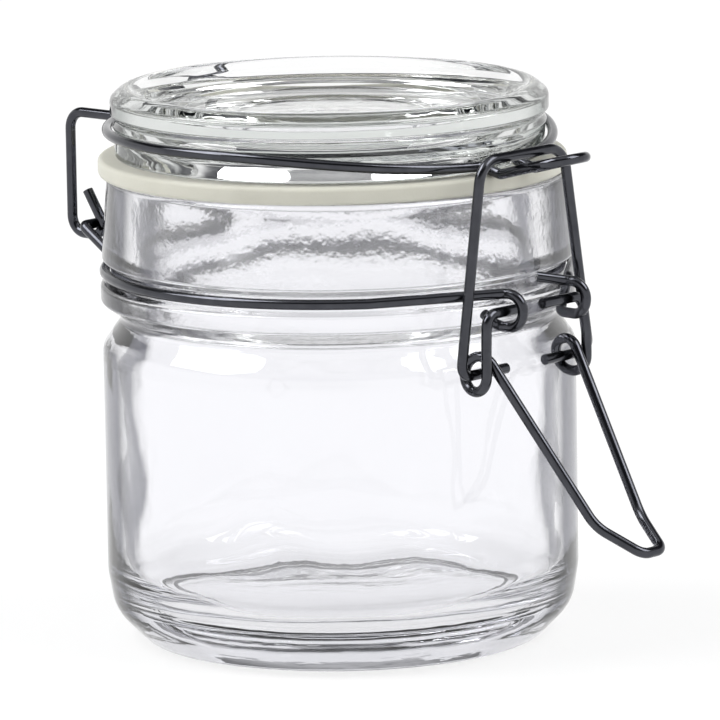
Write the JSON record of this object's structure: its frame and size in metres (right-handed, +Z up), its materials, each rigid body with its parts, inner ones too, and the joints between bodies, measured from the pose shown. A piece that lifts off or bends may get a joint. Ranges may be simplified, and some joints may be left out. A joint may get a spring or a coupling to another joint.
{
  "type": "clip-top glass canister",
  "caption": "Round clear glass jar with a glass lid, rubber-type seal, wire lid hinge at the back and an over-centre wire latch at the front.",
  "frame": {"origin": "on the jar's axis, at the plane it stands on", "axes": "+X towards the front latch, -X towards the lid hinge, hinge and latch pins along Y, +Z up"},
  "size_m": [0.1236, 0.0826, 0.096],
  "materials": {
    "clear_glass": "clear, fire-polished",
    "lid_glass": "clear, pressed",
    "seal_rubber": "matte translucent silicone",
    "lid_wire_steel": "bright plated spring wire",
    "neck_wire_steel": "bright plated spring wire",
    "bail_steel": "bright plated spring wire",
    "lever_steel": "bright plated spring wire"
  },
  "bodies": {
    "jar": {"glass_jar": "clear_glass", "neck_wire": "neck_wire_steel"},
    "lid": {"glass_lid": "lid_glass", "seal_ring": "seal_rubber", "lid_wire": "lid_wire_steel"},
    "lever": {"latch_lever": "lever_steel"},
    "bail": {"latch_bail": "bail_steel"}
  },
  "joints": [
    {"name": "lid_hinge", "type": "hinge", "parent": "jar", "child": "lid", "pos_m": [-0.0449, 0, 0.0693], "axis": [0, -1, 0], "range_deg": [0, 100]},
    {"name": "lever_pivot", "type": "hinge", "parent": "jar", "child": "lever", "pos_m": [0.0462, 0, 0.0624], "axis": [0, -1, 0], "range_deg": [0, 110]},
    {"name": "bail_pivot", "type": "hinge", "parent": "lever", "child": "bail", "pos_m": [0.0437, 0, 0.052], "axis": [0, -1, 0], "range_deg": [-80.4, 0]}
  ],
  "couplings": [
    {"joint": "bail_pivot", "follows": "lever_pivot", "ratio": -0.73}
  ]
}
